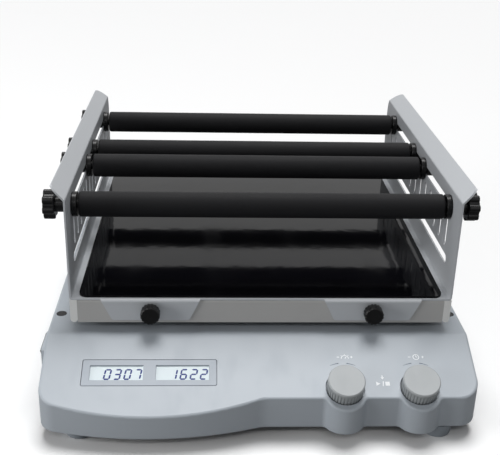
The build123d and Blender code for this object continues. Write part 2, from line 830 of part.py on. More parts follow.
def drive_belt():
    """Flat toothless belt round the two pulleys."""
    low = pulley_bottom + pulley_flange + belt_side_gap
    height = pulley_width - 2 * pulley_flange - 2 * belt_side_gap
    loop = belt_loop(near_gap + belt_thickness) - belt_loop(near_gap)
    return Pos(0, 0, low) * extrude(loop, height)


def platform_hub():
    """Bearing housing under the platform, round the crank pin."""
    hub = rod(hub_radius, hub_bottom, skin_under) + rod(hub_flange_radius, hub_flange_bottom, skin_under)
    hub -= rod(hub_bearing_radius + seat_gap, hub_bottom - 1, hub_flange_bottom)
    hub -= rod(crank_pin_radius + hub_pin_gap, hub_flange_bottom - 1, crank_pin_top + near_gap)
    return on_platform * hub


def hub_bearings():
    """Two ball bearings on the crank pin."""
    lows = (hub_bottom + near_gap, hub_flange_bottom - hub_bearing_width)
    return [on_platform * ball_bearing(hub_bearing_radius, crank_pin_radius, hub_bearing_width, low)
            for low in lows]


def idler_posts():
    """Flanged posts on the pan, bored for the idler cranks."""
    posts = []
    for x, y in idler_places:
        post = rod(idler_flange_radius, pan_top, pan_top + idler_flange_thickness, x, y)
        post += rod(idler_post_radius, pan_top, plateau, x, y)
        posts.append(post - rod(idler_pin_radius, idler_low - near_gap, plateau + 1, x, y))
    return posts


def idler_crank(x, y):
    """Double-ended pin: its upper end stands off its lower end by the orbit."""
    crank = rod(idler_pin_radius - run_gap, idler_low, idler_disc_low, x, y)
    crank += rod(idler_disc_radius, idler_disc_low, idler_disc_low + idler_disc_thickness, x, y)
    crank += rod(idler_pin_radius - open_pivot_gap, idler_disc_low, idler_high, x + orbit_x, y + orbit_y)
    return crank


def idler_cups():
    """Flanged sockets under the platform for the idler cranks."""
    cups = []
    for x, y in idler_places:
        x, y = x + orbit_x, y + orbit_y
        cup = rod(idler_flange_radius, hub_flange_bottom, skin_under, x, y)
        cup += rod(idler_cup_radius, platform_bottom, skin_under, x, y)
        cups.append(cup - rod(idler_pin_radius, platform_bottom - 1, idler_high + near_gap, x, y))
    return cups


def power_supply():
    """Boxed power supply with a terminal strip and a slotted lid."""
    width, depth, height = supply_size
    x, y = supply_side_inset - base_width / 2, spindle_y
    front = y - depth / 2
    lid = pan_top + height
    box = block(width, depth, pan_top, lid, x, y)
    box -= block(width, supply_strip, pan_top + height / 2, lid + 1, x, front + supply_strip / 2)
    slot_width, slot_depth, slot_drop = supply_slot
    for number in range(supply_slots):
        place = y + (number - (supply_slots - 1) / 2) * 2 * slot_depth
        box -= block(slot_width, slot_depth, lid - slot_drop, lid + 1, x, place)
    for number in range(supply_terminals):
        place = x + (number - (supply_terminals - 1) / 2) * supply_strip
        box += block(supply_terminal, supply_terminal, pan_top, pan_top + height / 2 + supply_terminal,
                     place, front + supply_strip / 2)
    return box


def driver_board():
    """Motor driver on four posts, with a finned sink, capacitors and a plug."""
    width, depth = driver_size
    x, y = base_width / 2 - driver_side_inset, spindle_y
    low = pan_top + driver_post_height
    top = low + board_thickness
    board = block(width, depth, low, top, x, y)
    for sx in (-1, 1):
        for sy in (-1, 1):
            board += rod(driver_post_radius, pan_top, low, x + sx * (width / 2 - 2 * driver_post_radius),
                         y + sy * (depth / 2 - 2 * driver_post_radius))
    sink_x, sink_y = x + sink_offset[0], y + sink_offset[1]
    board += block(sink_spacing * sink_fins, sink_length, top, top + sink_base, sink_x, sink_y)
    for number in range(sink_fins):
        place = sink_x + (number - (sink_fins - 1) / 2) * sink_spacing
        board += block(sink_fin, sink_length, top, top + sink_height, place, sink_y)
    for number in range(capacitors):
        board += rod(capacitor_radius, top, top + capacitor_height, x + capacitor_offset[0],
                     y + capacitor_offset[1] + number * capacitor_spacing)
    plug_width, plug_depth, plug_height = driver_plug
    return board + block(plug_width, plug_depth, top, top + plug_height, x, y - depth / 2 + plug_depth)


def mains_inlet():
    """Three-pin mains inlet let into the rear wall."""
    width, height, depth = inlet_body
    flange = Pos(0, -inlet_flange_thickness / 2, 0) * Box(
        inlet_flange[0], inlet_flange_thickness, inlet_flange[1])
    body = Pos(0, -depth / 2, 0) * Box(width, depth, height)
    socket = Pos(0, -inlet_socket_depth / 2, 0) * Box(
        inlet_socket[0], inlet_socket_depth, inlet_socket[1])
    inlet = flange + body - socket
    for number in (-1, 0, 1):
        lift = inlet_pin_lift if number == 0 else -inlet_pin_lift
        inlet += Pos(number * inlet_pin_spacing, inlet_pin[2] / 2 - inlet_socket_depth, lift) * Box(
            inlet_pin[0], inlet_pin[2], inlet_pin[1])
    for side in (-1, 1):
        place = side * (inlet_flange[0] + width) / 4
        inlet -= Pos(place, 0, 0) * Rot(90, 0, 0) * Cylinder(screw_radius, 4 * inlet_flange_thickness)
    return Pos(inlet_x, rear_wall, connector_height) * inlet


def serial_port():
    """Nine-way data socket let into the rear wall."""
    width, height, depth = port_body
    flange = Pos(0, -inlet_flange_thickness / 2, 0) * Box(
        port_flange[0], inlet_flange_thickness, port_flange[1])
    body = Pos(0, -depth / 2, 0) * Box(width, depth, height)
    port = flange + body - Pos(0, -port_depth / 2, 0) * Box(port_shell[0], port_depth, port_shell[1])
    for row, count in enumerate(port_rows):
        for number in range(count):
            place = (number - (count - 1) / 2) * port_pin_pitch
            port += Pos(place, port_pin_length / 2 - port_depth, (0.5 - row) * port_pin_pitch) \
                * Rot(90, 0, 0) * Cylinder(port_pin_radius, port_pin_length)
    return Pos(port_x, rear_wall, connector_height) * port


def platform_plate():
    """Folded platform: a thin top with skirts all round and two ribs below."""
    width = platform_width - 2 * rail_width
    plate = block(width, platform_depth, platform_bottom, platform_top)
    plate -= block(width - 2 * skirt_wall, platform_depth - 2 * skirt_wall, platform_bottom - 1, skin_under)
    ends = [e for e in plate.edges() if e.bounding_box().min.Z > platform_top - 0.01
            and e.bounding_box().size.X > platform_width / 2]
    plate = fillet(ends, bend_radius)
    for side in (-1, 1):
        plate += block(skirt_wall, platform_depth - skirt_wall, skin_under - rib_drop, platform_top,
                       side * rib_spread)
    for x in (-tab_offset, tab_offset):
        plate -= Pos(x, 0, thumb_z) * Rot(90, 0, 0) * Cylinder(
            thumb_shank_radius + run_gap, platform_depth + 2)
    return on_platform * plate


def platform_rails():
    """Side strips of the platform with rounded lower edges."""
    rails = []
    for side in (-1, 1):
        x = side * (platform_width - rail_width) / 2
        rail = block(rail_width, platform_depth, platform_bottom, platform_top, x)
        lower = [e for e in rail.edges() if e.bounding_box().max.Z < platform_bottom + 0.01
                 and e.bounding_box().size.Y > platform_depth / 2]
        rails.append(on_platform * fillet(lower, rail_round))
    return rails


def tray_profile():
    """Cross-section of the folded tray: floor, walls and flared flanges."""
    wall = platform_width / 2 - sheet / 2
    floor = platform_top + sheet / 2
    tip_x = platform_width / 2 + flange_out - sheet / 2
    tip_z = fold_height + flange_up - sheet / 2
    points = ((-tip_x, tip_z), (-wall, fold_height), (-wall, floor), (wall, floor),
              (wall, fold_height), (tip_x, tip_z))
    return trace(FilletPolyline(*points, radius=bend_radius), line_width=sheet)


def tray_side():
    """Side view of the tray, with its two upper corners rounded."""
    top = fold_height + flange_up
    side = Pos(0, (platform_top + top) / 2) * Rectangle(platform_depth, top - platform_top)
    side = fillet(corners(side, -platform_depth / 2, top), flange_front_corner)
    return fillet(corners(side, platform_depth / 2, top), flange_rear_corner)


def tray_tab(end, x):
    """Trapezoid tab folded down from the tray floor over the platform's skirt."""
    floor = platform_top + sheet / 2
    face = platform_depth / 2 + tab_gap + sheet / 2
    bottom = tray_top - tab_drop
    strip = FilletPolyline((face - tab_root, floor), (face, floor), (face, bottom), radius=bend_radius)
    strip = extrude(Plane.YZ.offset(-tab_top_width / 2) * trace(strip, line_width=sheet), tab_top_width)
    front = Polygon((-tab_bottom_width / 2, bottom), (tab_bottom_width / 2, bottom),
                    (tab_top_width / 2, tray_top), (-tab_top_width / 2, tray_top), align=None)
    for sx in (-1, 1):
        front = fillet(corners(front, sx * tab_bottom_width / 2, bottom), tab_round)
    tab = strip & extrude(Plane.XZ.offset(-platform_depth) * front, 2 * platform_depth)
    hole = Pos(0, face, thumb_z) * Rot(90, 0, 0) * Cylinder(thumb_shank_radius + near_gap, 2 * sheet)
    return Pos(x, 0, 0) * Rot(0, 0, 0 if end > 0 else 180) * (tab - hole)


def attachment_tray():
    """Sheet tray: slotted side walls with flared flanges, and tabs front and back."""
    tray = extrude(Plane.XZ.offset(-platform_depth / 2) * tray_profile(), platform_depth)
    across = platform_width + 4 * flange_out
    side_view = Plane.YZ.offset(-across / 2)
    tray = tray & extrude(side_view * tray_side(), across)

    slot_length = platform_depth - 2 * slot_end_margin
    openings = [Pos(0, tray_top + height) * SlotOverall(slot_length, slot_width)
                for height in (lower_slot_height, bar_height)]
    vent_length = vent_slot_high - vent_slot_low
    vent_middle = tray_top + (vent_slot_low + vent_slot_high) / 2
    for number in range(vent_slot_count):
        place = (number - (vent_slot_count - 1) / 2) * vent_slot_pitch
        openings.append(Pos(place, vent_middle) * SlotOverall(vent_length, vent_slot_width, rotation=90))
    for opening in openings:
        tray -= extrude(side_view * opening, across)

    for end in (-1, 1):
        for x in (-tab_offset, tab_offset):
            tray += tray_tab(end, x)
    return on_platform * tray


def mat():
    """Non-slip mat on the tray floor."""
    shape = RectangleRounded(platform_width - 2 * mat_margin_x, platform_depth - 2 * mat_margin_y, mat_corner)
    return on_platform * Pos(0, 0, tray_top) * extrude(shape, mat_thickness)


def thumb_screw(end, x):
    """Knurled thumb screw through a tab into the platform's skirt."""
    outline = Circle(thumb_radius)
    for number in range(thumb_scallops):
        turn = Rot(0, 0, 360 * number / thumb_scallops)
        outline -= turn * Pos(thumb_radius + thumb_scallop_radius / 2, 0) * Circle(thumb_scallop_radius)
    head = Pos(0, 0, thumb_collar) * extrude(outline, thumb_head)
    rim = [e for e in head.edges() if e.bounding_box().min.Z > thumb_collar + thumb_head - 0.01]
    screw = chamfer(rim, thumb_chamfer) + rod(thumb_collar_radius, 0, thumb_collar)
    screw += rod(thumb_shank_radius, -thumb_shank_length, thumb_collar)
    face = platform_depth / 2 + tab_gap + sheet + 2 * run_gap
    turn = Rot(0, 0, 0 if end > 0 else 180) * Pos(0, face, 0) * Rot(-90, 0, 0)
    return on_platform * Pos(x, 0, thumb_z) * turn * screw


def bar_line(place):
    """Place of a clamp bar: local Z runs along the bar."""
    return Pos(platform_x, tray_front + place, bar_z) * Rot(0, 90, 0)


def bar_rod(place):
    """Steel rod of a clamp bar, with a disc near each end inside the tray."""
    rod_half = platform_width / 2 + rod_reach
    disc_inner = bar_pad_half + bar_disc_gap
    disc_outer = tray_wall_inner - near_gap
    bar = rod(bar_rod_radius, -rod_half, rod_half)
    for low, high in ((disc_inner, disc_outer), (-disc_outer, -disc_inner)):
        disc = rod(bar_disc_radius, low, high)
        bar += fillet(disc.edges().filter_by(GeomType.CIRCLE), bar_disc_round)
    return bar_line(place) * bar


def bar_sleeve(place):
    """Foam sleeve on a clamp bar."""
    sleeve = chamfer(rod(bar_pad_radius, -bar_pad_half, bar_pad_half).edges().filter_by(GeomType.CIRCLE),
                     bar_pad_chamfer)
    return bar_line(place) * (sleeve - rod(bar_rod_radius + seat_gap, -platform_width, platform_width))


def star_knob(place, side):
    """Seven-lobed clamping knob with a long neck, bored for the rod's end."""
    outline = Circle(star_core_radius)
    for number in range(star_lobes):
        turn = Rot(0, 0, 360 * number / star_lobes)
        outline += turn * Pos(star_radius - star_lobe_radius, 0) * Circle(star_lobe_radius)
    grip = Pos(0, 0, knob_neck_length) * extrude(outline, star_grip)
    ends = [e for e in grip.edges() if e.bounding_box().size.Z < 0.01]
    knob = fillet(ends, star_round) + rod(knob_neck_radius, 2 * run_gap, knob_neck_length + star_round)
    knob -= rod(bar_rod_radius + run_gap, -1, rod_reach + near_gap)
    outward = Rot(0, 90, 0) if side > 0 else Rot(0, -90, 0)
    return Pos(platform_x + side * platform_width / 2, tray_front + place, bar_z) * outward * knob


outline = housing_outline()
inner_outline = offset(outline, -shell_wall)
pan_outline = offset(outline, -shell_wall - pan_fit)

save("housing_shell", housing_shell())
save("base_pan", base_pan())
save("rubber_feet", *rubber_feet())
save("case_screws", *case_screws())
save("screw_plugs", *screw_plugs())
save("display_bezel", display_bezel())
save("speed_display", display(-1))
save("timer_display", display(1))
save("control_board", control_board())
save("encoder_bodies", *encoder_bodies())
for name, x in zip(("speed", "timer"), knob_places):
    save(f"{name}_encoder_shaft", encoder_shaft(x))
    save(f"{name}_knob", control_knob(x))
save("spindle_housing", spindle_housing())
save("spindle_bearings", *spindle_bearings())
save("crank_shaft", crank_shaft())
save("drive_pulley", drive_pulley())
save("counterweight", counterweight())
save("motor_body", motor_body())
save("motor_pulley", motor_pulley())
save("drive_belt", drive_belt())
save("platform_hub", platform_hub())
save("hub_bearings", *hub_bearings())
save("idler_posts", *idler_posts())
save("idler_cups", *idler_cups())
for number, (x, y) in enumerate(idler_places, start=1):
    save(f"idler_crank_{number}", idler_crank(x, y))
save("power_supply", power_supply())
save("driver_board", driver_board())
save("mains_inlet", mains_inlet())
save("serial_port", serial_port())
save("rocker_frame", rocker_frame())
save("power_rocker", power_rocker())
save("platform_plate", platform_plate())
save("platform_rails", *platform_rails())
save("attachment_tray", attachment_tray())
save("mat", mat())
for end_name, end in (("front", -1), ("rear", 1)):
    for side_name, side in (("left", -1), ("right", 1)):
        save(f"thumb_screw_{end_name}_{side_name}", thumb_screw(end, side * tab_offset))
for number, place in enumerate(bar_places, start=1):
    save(f"bar_rod_{number}", bar_rod(place))
    save(f"bar_sleeve_{number}", bar_sleeve(place))
    save(f"star_knob_{number}_left", star_knob(place, -1))
    save(f"star_knob_{number}_right", star_knob(place, 1))
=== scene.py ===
"""Bench orbital shaker: finishes, printed marks, foam sleeves and a plain studio.

Lengths are in metres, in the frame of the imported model: X to the right, Y to the
back, Z up, with the origin on the bench under the middle of the base.
"""

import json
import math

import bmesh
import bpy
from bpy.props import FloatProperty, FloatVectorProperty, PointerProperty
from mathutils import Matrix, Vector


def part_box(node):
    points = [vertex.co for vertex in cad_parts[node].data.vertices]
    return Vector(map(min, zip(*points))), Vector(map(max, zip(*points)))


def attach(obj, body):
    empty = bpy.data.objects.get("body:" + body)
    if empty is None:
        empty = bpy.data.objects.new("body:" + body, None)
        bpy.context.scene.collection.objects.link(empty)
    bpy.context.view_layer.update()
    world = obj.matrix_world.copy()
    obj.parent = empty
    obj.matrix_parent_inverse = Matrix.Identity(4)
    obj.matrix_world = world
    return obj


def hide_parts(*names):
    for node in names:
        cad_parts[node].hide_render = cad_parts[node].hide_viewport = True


bl_info = {
    "name": "Orbital shaker",
    "version": (1, 0, 0),
    "blender": (4, 5, 0),
    "location": "3D Viewport > Sidebar > Shaker",
    "description": "Finishes, printed marks and a studio for a bench orbital shaker",
    "category": "Object",
}

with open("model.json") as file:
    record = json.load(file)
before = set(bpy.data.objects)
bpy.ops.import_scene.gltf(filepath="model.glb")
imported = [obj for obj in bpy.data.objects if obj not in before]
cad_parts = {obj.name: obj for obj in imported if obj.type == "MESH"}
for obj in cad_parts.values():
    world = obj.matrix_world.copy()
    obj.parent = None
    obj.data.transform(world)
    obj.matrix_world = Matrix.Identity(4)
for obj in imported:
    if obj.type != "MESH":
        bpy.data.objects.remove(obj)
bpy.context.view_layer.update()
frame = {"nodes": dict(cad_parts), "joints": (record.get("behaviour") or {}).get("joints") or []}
joints = {joint["name"]: joint for joint in frame["joints"]}
MM = 0.001


def colour(name, description, value):
    """Colour property of a finish."""
    return FloatVectorProperty(name=name, description=description, subtype="COLOR", size=3,
                               min=0.0, max=1.0, default=value)


def length(name, description, value):
    """Length property in metres."""
    return FloatProperty(name=name, description=description, unit="LENGTH", default=value,
                         min=0.0, precision=5)


class ShakerColours(bpy.types.PropertyGroup):
    """Colours of the finishes that show."""

    housing: colour("Housing", "Moulded cover", (0.425, 0.465, 0.508))
    # The feet have the housing's grey; this darker value is painted shade.
    foot: colour("Feet", "Grey rubber of the feet", (0.330, 0.365, 0.405))
    bezel: colour("Bezel", "Frame round the displays", (0.385, 0.425, 0.475))
    glass: colour("Display", "Lit display", (0.570, 0.640, 0.665))
    digit: colour("Digits", "Display segments", (0.010, 0.028, 0.190))
    knob: colour("Control knobs", "Control knobs", (0.370, 0.390, 0.400))
    tray: colour("Tray", "Painted sheet of the tray", (0.500, 0.520, 0.545))
    skirt: colour("Skirts", "Painted skirts of the platform", (0.450, 0.445, 0.435))
    # The rails' near white, far lighter than the skirts, is painted light from their ends that face
    # the lamp.
    rail: colour("Rails", "Side strips of the platform", (0.780, 0.780, 0.765))
    foam: colour("Foam", "Sleeves of the clamp bars", (0.007, 0.007, 0.008))
    mat: colour("Mat", "Mat on the tray", (0.0025, 0.0025, 0.0035))
    black: colour("Black plastic", "Star knobs and thumb screws", (0.003, 0.003, 0.0035))
    rubber: colour("Belt", "Rubber of the belt", (0.020, 0.020, 0.021))
    print_light: colour("Light print", "Light marks on the panel", (0.860, 0.880, 0.900))
    print_dark: colour("Dark print", "Dark marks on the panel", (0.090, 0.120, 0.160))


class ShakerSizes(bpy.types.PropertyGroup):
    """Sizes of the printed marks and of the foam."""

    digit_height: length("Digit height", "Height of a display digit", 0.0106)
    digit_width: length("Digit width", "Width of a display digit", 0.0060)
    digit_pitch: length("Digit pitch", "From one digit to the next", 0.0084)
    segment: length("Segment", "Width of a digit's segments", 0.0014)
    slant: FloatProperty(name="Slant", description="Lean of the digits", unit="ROTATION",
                         default=math.radians(9))
    print_thickness: length("Print thickness", "How far a mark stands off the panel", 0.00008)
    arc_radius: length("Arc radius", "Radius of the turn marks round a knob", 0.0245)
    arc_width: length("Arc width", "Widest part of a turn mark", 0.0008)
    symbol: length("Symbol size", "Height of a printed symbol", 0.0050)
    press_symbol: length("Press symbol size", "Height of the start and stop symbol", 0.0092)
    sleeve_round: length("Sleeve rounding", "Rounding of a foam sleeve's ends", 0.0016)


class StudioSettings(bpy.types.PropertyGroup):
    """Camera and light."""

    place: FloatVectorProperty(name="Camera place", description="Where the camera stands",
                               subtype="TRANSLATION", unit="LENGTH",
                               default=(-0.04466, -0.79202, 0.45178))
    pitch: FloatProperty(name="Camera pitch", description="How far the camera looks down",
                         unit="ROTATION", default=0.40898)
    yaw: FloatProperty(name="Camera yaw", description="How far the camera looks to the right",
                       unit="ROTATION", default=0.05205)
    roll: FloatProperty(name="Camera roll", description="Turn of the camera about its view",
                        unit="ROTATION", default=0.02689)
    lens: FloatProperty(name="Lens", description="Focal length on a 36 mm wide sensor",
                        subtype="DISTANCE_CAMERA", default=62.645)
    sky: FloatProperty(name="Sky", description="Strength of the light from all round",
                       default=0.13)
    sun: FloatProperty(name="Rear light", default=2.6,
                       description="Strength of the soft light from above and behind")
    top: FloatProperty(name="Top light", description="Power of the soft box overhead",
                       unit="POWER", default=2.2)
    fill: FloatProperty(name="Side light", description="Power of the soft light from the left",
                        unit="POWER", default=15.0)


class Value:
    """A number that varies over a surface, with Python's arithmetic."""

    def __init__(self, finish, socket):
        self.finish = finish
        self.socket = socket

    def math(self, operation, *others):
        """Result of a Math node on this value and any others."""
        values = dict(enumerate((self, *others)))
        return self.finish.value("ShaderNodeMath", {"operation": operation}, values)

    def __add__(self, other):
        return self.math("ADD", other)

    __radd__ = __add__

    def __sub__(self, other):
        return self.math("SUBTRACT", other)

    def __rsub__(self, other):
        return self.math("MULTIPLY_ADD", -1.0, other)

    def __mul__(self, other):
        return self.math("MULTIPLY", other)

    __rmul__ = __mul__

    def __pow__(self, other):
        return self.math("POWER", other)

    def __gt__(self, other):
        return self.math("GREATER_THAN", other)

    def __lt__(self, other):
        return self.math("LESS_THAN", other)

    def smooth(self, low, high):
        """0 below one level and 1 above another, with a soft step between."""
        return self.finish.value("ShaderNodeMapRange", {"interpolation_type": "SMOOTHSTEP"},
                                 {"Value": self, "From Min": low, "From Max": high})


class Finish:
    """A material in the making, with one principled shader."""

    def __init__(self, name, base, roughness, metallic=0.0, **constants):
        self.material = bpy.data.materials.new(name)
        self.material.use_nodes = True
        self.tree = self.material.node_tree
        self.shader = self.tree.nodes["Principled BSDF"]
        self.base = (*base, 1.0)
        self.set("Base Color", self.base)
        self.set("Roughness", roughness)
        self.set("Metallic", metallic)
        for socket, value in constants.items():
            self.set(socket.replace("_", " ").title().replace("Ior", "IOR"), value)
        self.material.diffuse_color = self.base

    def node(self, kind, settings=None, values=None):
        """A new node with its settings made first, then its sockets' values or links."""
        node = self.tree.nodes.new(kind)
        for name, setting in (settings or {}).items():
            setattr(node, name, setting)
        for name, value in (values or {}).items():
            self.feed(node.inputs[name], value)
        return node

    def feed(self, socket, value):
        """Link a value to a socket, or set the socket to a constant."""
        if isinstance(value, Value):
            self.tree.links.new(value.socket, socket)
        elif isinstance(value, bpy.types.NodeSocket):
            self.tree.links.new(value, socket)
        else:
            socket.default_value = value

    def value(self, kind, settings=None, values=None, output=0):
        """One output of a new node, as a value to reckon with."""
        return Value(self, self.node(kind, settings, values).outputs[output])

    def set(self, socket, value):
        """Feed a socket of the principled shader."""
        self.feed(self.shader.inputs[socket], value)

    def place(self):
        """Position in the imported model's frame."""
        return self.node("ShaderNodeTexCoord").outputs["Object"]

    def axes(self):
        """The three coordinates of a position, as values."""
        split = self.node("ShaderNodeSeparateXYZ", values={"Vector": self.place()})
        return [Value(self, output) for output in split.outputs]

    def stretched(self, scale):
        """Position scaled by a different amount along each axis."""
        return self.node("ShaderNodeVectorMath", {"operation": "MULTIPLY"},
                         {0: self.place(), 1: scale}).outputs[0]

    def noise(self, scale, detail=3.0, roughness=0.55, vector=None):
        """Cloudy noise from 0 to 1, with its scale in waves per metre."""
        return self.value("ShaderNodeTexNoise", values={
            "Vector": vector or self.place(), "Scale": scale, "Detail": detail,
            "Roughness": roughness})

    def cells(self, scale):
        """Distance to the nearest of many scattered points."""
        return self.value("ShaderNodeTexVoronoi", {"feature": "F1"},
                          {"Vector": self.place(), "Scale": scale})

    def mix(self, mask, first, second):
        """Colour that goes from one to another with a mask."""
        node = self.node("ShaderNodeMix", {"data_type": "RGBA"}, {0: mask, 6: first, 7: second})
        return node.outputs[2]

    def tint(self, mask, amount):
        """Base colour made lighter or darker where the mask is above or below one half."""
        low = (*(c * (1 - amount) for c in self.base[:3]), 1.0)
        high = (*(min(1.0, c * (1 + amount)) for c in self.base[:3]), 1.0)
        return self.mix(mask, low, high)

    def bump(self, height, distance):
        """Relief of a given depth, in metres."""
        node = self.node("ShaderNodeBump", values={"Height": height, "Distance": distance})
        self.set("Normal", node.outputs[0])

    def on(self, *names):
        """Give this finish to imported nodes, by name."""
        for name in names:
            mesh = frame["nodes"][name].data
            mesh.materials.clear()
            mesh.materials.append(self.material)


def moulded(name, base, roughness, grain=0.00002, cloud=0.02):
    """Moulded plastic: a fine even texture with faint clouding and handling marks."""
    finish = Finish(name, base, roughness)
    fine = finish.noise(1800.0, 2.0)
    broad = finish.noise(14.0, 4.0, 0.6)
    along = finish.stretched((1.0, 0.35, 1.0))
    smears = finish.noise(60.0, 3.0, 0.7, along).smooth(0.45, 0.75)
    finish.set("Base Color", finish.tint(broad, cloud))
    finish.set("Roughness", roughness + 0.08 * (fine - 0.5) + 0.07 * smears)
    finish.bump(fine, grain)
    return finish


def painted_sheet(name, base, roughness=0.42):
    """Powder paint on folded sheet: orange peel, with a little dust in the coating."""
    finish = Finish(name, base, roughness)
    peel = finish.noise(520.0, 2.0)
    dust = finish.noise(2600.0, 1.0).smooth(0.66, 0.74)
    cloud = finish.noise(9.0, 3.0)
    darker = tuple(c * 0.82 for c in base) + (1.0,)
    toned = finish.tint(cloud, 0.025)
    finish.set("Base Color", finish.mix(dust * 0.5, toned, darker))
    finish.set("Roughness", roughness + 0.10 * (peel - 0.5) + 0.05 * cloud)
    finish.bump(peel, 0.00005)
    return finish


def turned_steel(name, base=(0.50, 0.51, 0.52), centre=(0.0, 0.0), roughness=0.28):
    """Steel turned about an upright axis: fine rings and a trace of oil."""
    finish = Finish(name, base, roughness, metallic=1.0)
    x, y, z = finish.axes()
    radius = ((x - centre[0]) ** 2.0 + (y - centre[1]) ** 2.0) ** 0.5
    rings = finish.value("ShaderNodeTexNoise", {"noise_dimensions": "1D"},
                         {"W": radius + 0.6 * z, "Scale": 2600.0, "Detail": 2.0})
    oil = finish.noise(35.0, 4.0)
    finish.set("Base Color", finish.tint(oil, 0.10))
    finish.set("Roughness", roughness + 0.16 * (rings - 0.5) + 0.10 * (oil - 0.5))
    finish.bump(rings, 0.000015)
    return finish


def cast_metal(name, base=(0.46, 0.47, 0.48)):
    """Cast aluminium: grainy skin with lighter worn high spots."""
    finish = Finish(name, base, 0.5, metallic=0.85)
    grain = finish.noise(900.0, 5.0, 0.7)
    pits = finish.cells(700.0).smooth(0.05, 0.35)
    finish.set("Base Color", finish.tint(grain, 0.12))
    finish.set("Roughness", 0.42 + 0.25 * grain)
    finish.bump(grain * 0.6 + pits * 0.4, 0.00006)
    return finish


def soft_black(name, base, roughness, grain, scale):
    """Rubber: matt black with fine pores and a dusty bloom."""
    finish = Finish(name, base, roughness, specular_ior_level=0.35)
    pores = finish.cells(scale).smooth(0.0, 0.5)
    bloom = finish.noise(40.0, 5.0, 0.65).smooth(0.40, 0.80)
    greyed = tuple(c + 0.012 for c in base) + (1.0,)
    finish.set("Base Color", finish.mix(bloom, finish.base, greyed))
    finish.set("Roughness", roughness + 0.10 * (bloom - 0.5))
    finish.bump(pores, grain)
    return finish


def gloss_black(name, base):
    """Glossy moulded black: a smooth skin with faint flow lines and fine scuffs."""
    finish = Finish(name, base, 0.22, specular_ior_level=0.20)
    flow = finish.noise(120.0, 3.0, 0.6, finish.stretched((0.4, 1.0, 1.0)))
    along = finish.stretched((1.0, 0.1, 1.0))
    scuff = finish.noise(700.0, 3.0, 0.7, along).smooth(0.58, 0.80)
    finish.set("Base Color", finish.tint(flow, 0.25))
    finish.set("Roughness", 0.20 + 0.10 * flow + 0.22 * scuff)
    finish.bump(flow + scuff * 0.3, 0.00003)
    return finish


def circuit(name, top):
    """Printed circuit board: green lacquer over traces, with dark parts above a height."""
    finish = Finish(name, (0.010, 0.085, 0.032), 0.30, coat_weight=0.3, coat_roughness=0.15)
    traces = finish.value("ShaderNodeTexBrick", {"offset": 0.5}, {
        "Vector": finish.place(), "Scale": 160.0, "Mortar Size": 0.10, "Brick Width": 0.9,
        "Row Height": 0.18}, output=1)
    pads = finish.cells(330.0) < 0.16
    lacquer = finish.mix(traces, finish.base, (0.020, 0.150, 0.055, 1.0))
    tinned = finish.mix(pads, lacquer, (0.55, 0.56, 0.54, 1.0))
    raised = finish.axes()[2] > top
    finish.set("Base Color", finish.mix(raised, tinned, (0.035, 0.036, 0.040, 1.0)))
    finish.set("Metallic", pads * (1 - raised) * 0.8)
    finish.set("Roughness", 0.28 + 0.18 * traces + 0.15 * raised)
    finish.bump(traces + pads, 0.00004)
    return finish


def new_piece(name, mesh_maker, finish, body):
    """Object from a function that fills a bmesh, finished and riding on a body."""
    mesh = bpy.data.meshes.new(name)
    work = bmesh.new()
    mesh_maker(work)
    bmesh.ops.remove_doubles(work, verts=work.verts, dist=1e-7)
    bmesh.ops.recalc_face_normals(work, faces=work.faces)
    work.to_mesh(mesh)
    work.free()
    mesh.materials.append(finish.material)
    piece = bpy.data.objects.new(name, mesh)
    bpy.context.scene.collection.objects.link(piece)
    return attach(piece, body)


def plate(work, matrix, outline, thickness):
    """Thin closed plate with a flat outline, standing on a plane."""
    low = [work.verts.new(matrix @ Vector((x, y, 0.0))) for x, y in outline]
    high = [work.verts.new(matrix @ Vector((x, y, thickness))) for x, y in outline]
    work.faces.new(low[::-1])
    work.faces.new(high)
    for i in range(len(outline)):
        j = (i + 1) % len(outline)
        work.faces.new((low[i], low[j], high[j], high[i]))


def arc_outline(centre, radius, start, end, width_at, steps=24):
    """Outline of a curved stroke whose width follows a function from 0 to 1 along it."""
    outer, inner = [], []
    for i in range(steps + 1):
        share = i / steps
        turn = start + (end - start) * share
        half = width_at(share) / 2
        direction = Vector((math.cos(turn), math.sin(turn)))
        outer.append(Vector(centre) + direction * (radius + half))
        inner.append(Vector(centre) + direction * (radius - half))
    return [tuple(p) for p in outer + inner[::-1]]


def stroke_outline(start, end, width):
    """Outline of a straight stroke between two points."""
    start, end = Vector(start), Vector(end)
    side = (end - start).normalized().orthogonal() * width / 2
    return [tuple(p) for p in (start - side, end - side, end + side, start + side)]


SEGMENTS = {
    "0": "abcdef", "1": "bc", "2": "abged", "3": "abgcd", "4": "fgbc",
    "5": "afgcd", "6": "afgedc", "7": "abc", "8": "abcdefg", "9": "abcdfg",
}
# Distances down the panel start at its ridge, in the panel's own plane.
KNOB_DOWN = 55.1 * MM         # the knobs' axes
DISPLAY_DOWN = 39.6 * MM      # the middle of the displays
SYMBOL_DOWN = 24.5 * MM       # the symbols above the knobs
START_STOP_DOWN = 51.0 * MM   # the symbol between the knobs
DISPLAY_SUNK = 1.2 * MM       # from the panel in to the displays' faces
WINDOW = (44.4 * MM, 14.6 * MM)
READINGS = {"speed_display": "0307", "timer_display": "1622"}
FIRST_DIGIT = 11.0 * MM       # from a window's left edge
DIGIT_FOOT = 0.9 * MM         # from a window's lower edge
SEGMENT_GAP = 0.12 * MM
ARC_SPANS = ((math.radians(116), math.radians(98)), (math.radians(64), math.radians(82)))
SPEED_SHIFT, TIMER_SHIFT, START_STOP_SHIFT = 2.5 * MM, 1.5 * MM, 1.0 * MM
DRIVER_BOARD_UP = 7.8 * MM    # from the driver board's lowest point to its lacquer
CONTACT_DEPTH = 3.5 * MM      # from a socket's face in to its contacts
BAR_BORE = 4.2 * MM           # radius of a foam sleeve's bore
BAR_NUMBERS = IDLER_NUMBERS = range(1, 5)


